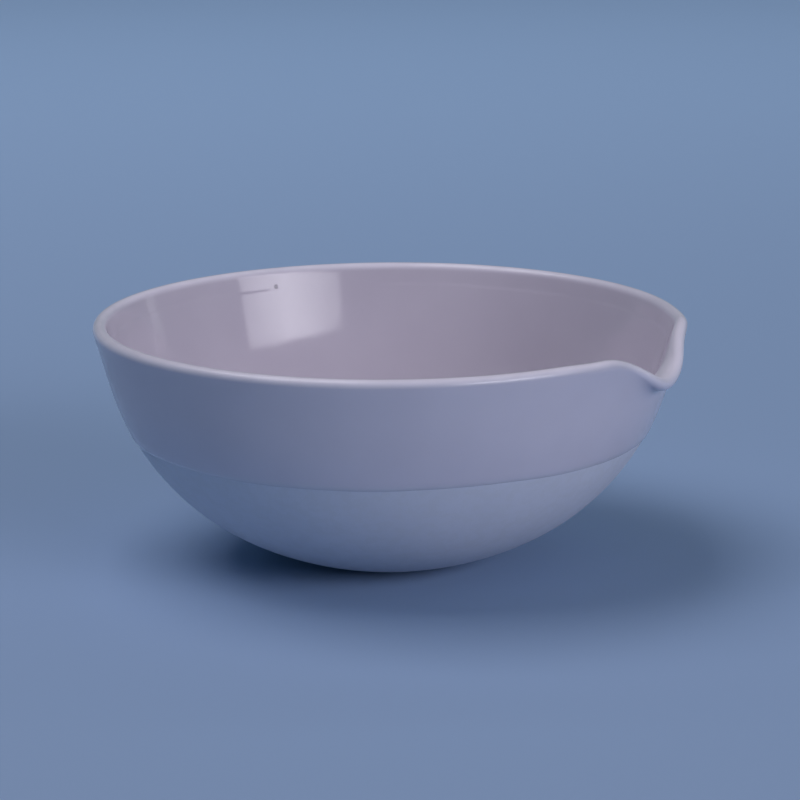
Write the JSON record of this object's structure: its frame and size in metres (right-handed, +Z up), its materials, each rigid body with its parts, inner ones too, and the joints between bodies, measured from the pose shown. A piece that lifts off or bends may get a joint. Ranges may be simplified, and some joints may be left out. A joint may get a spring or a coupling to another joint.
{
  "type": "evaporating dish",
  "caption": "Round-bottomed porcelain bowl with a pressed pouring spout, glazed inside and over the upper outside, and bare on the round bottom.",
  "frame": {"origin": "centre of the flat foot, on the surface that the dish stands on", "axes": "+Z up along the axis of the bowl, +X towards the middle of the pouring spout, +Y to the left of the spout seen from inside the bowl"},
  "size_m": [0.0905, 0.09, 0.0377],
  "materials": {
    "bare_porcelain": "unglazed white hard porcelain, matt and very fine-grained",
    "glaze": "clear glossy feldspar glaze over white porcelain"
  },
  "bodies": {
    "root": {"porcelain_body": "bare_porcelain", "glaze_coat": "glaze"}
  },
  "joints": []
}
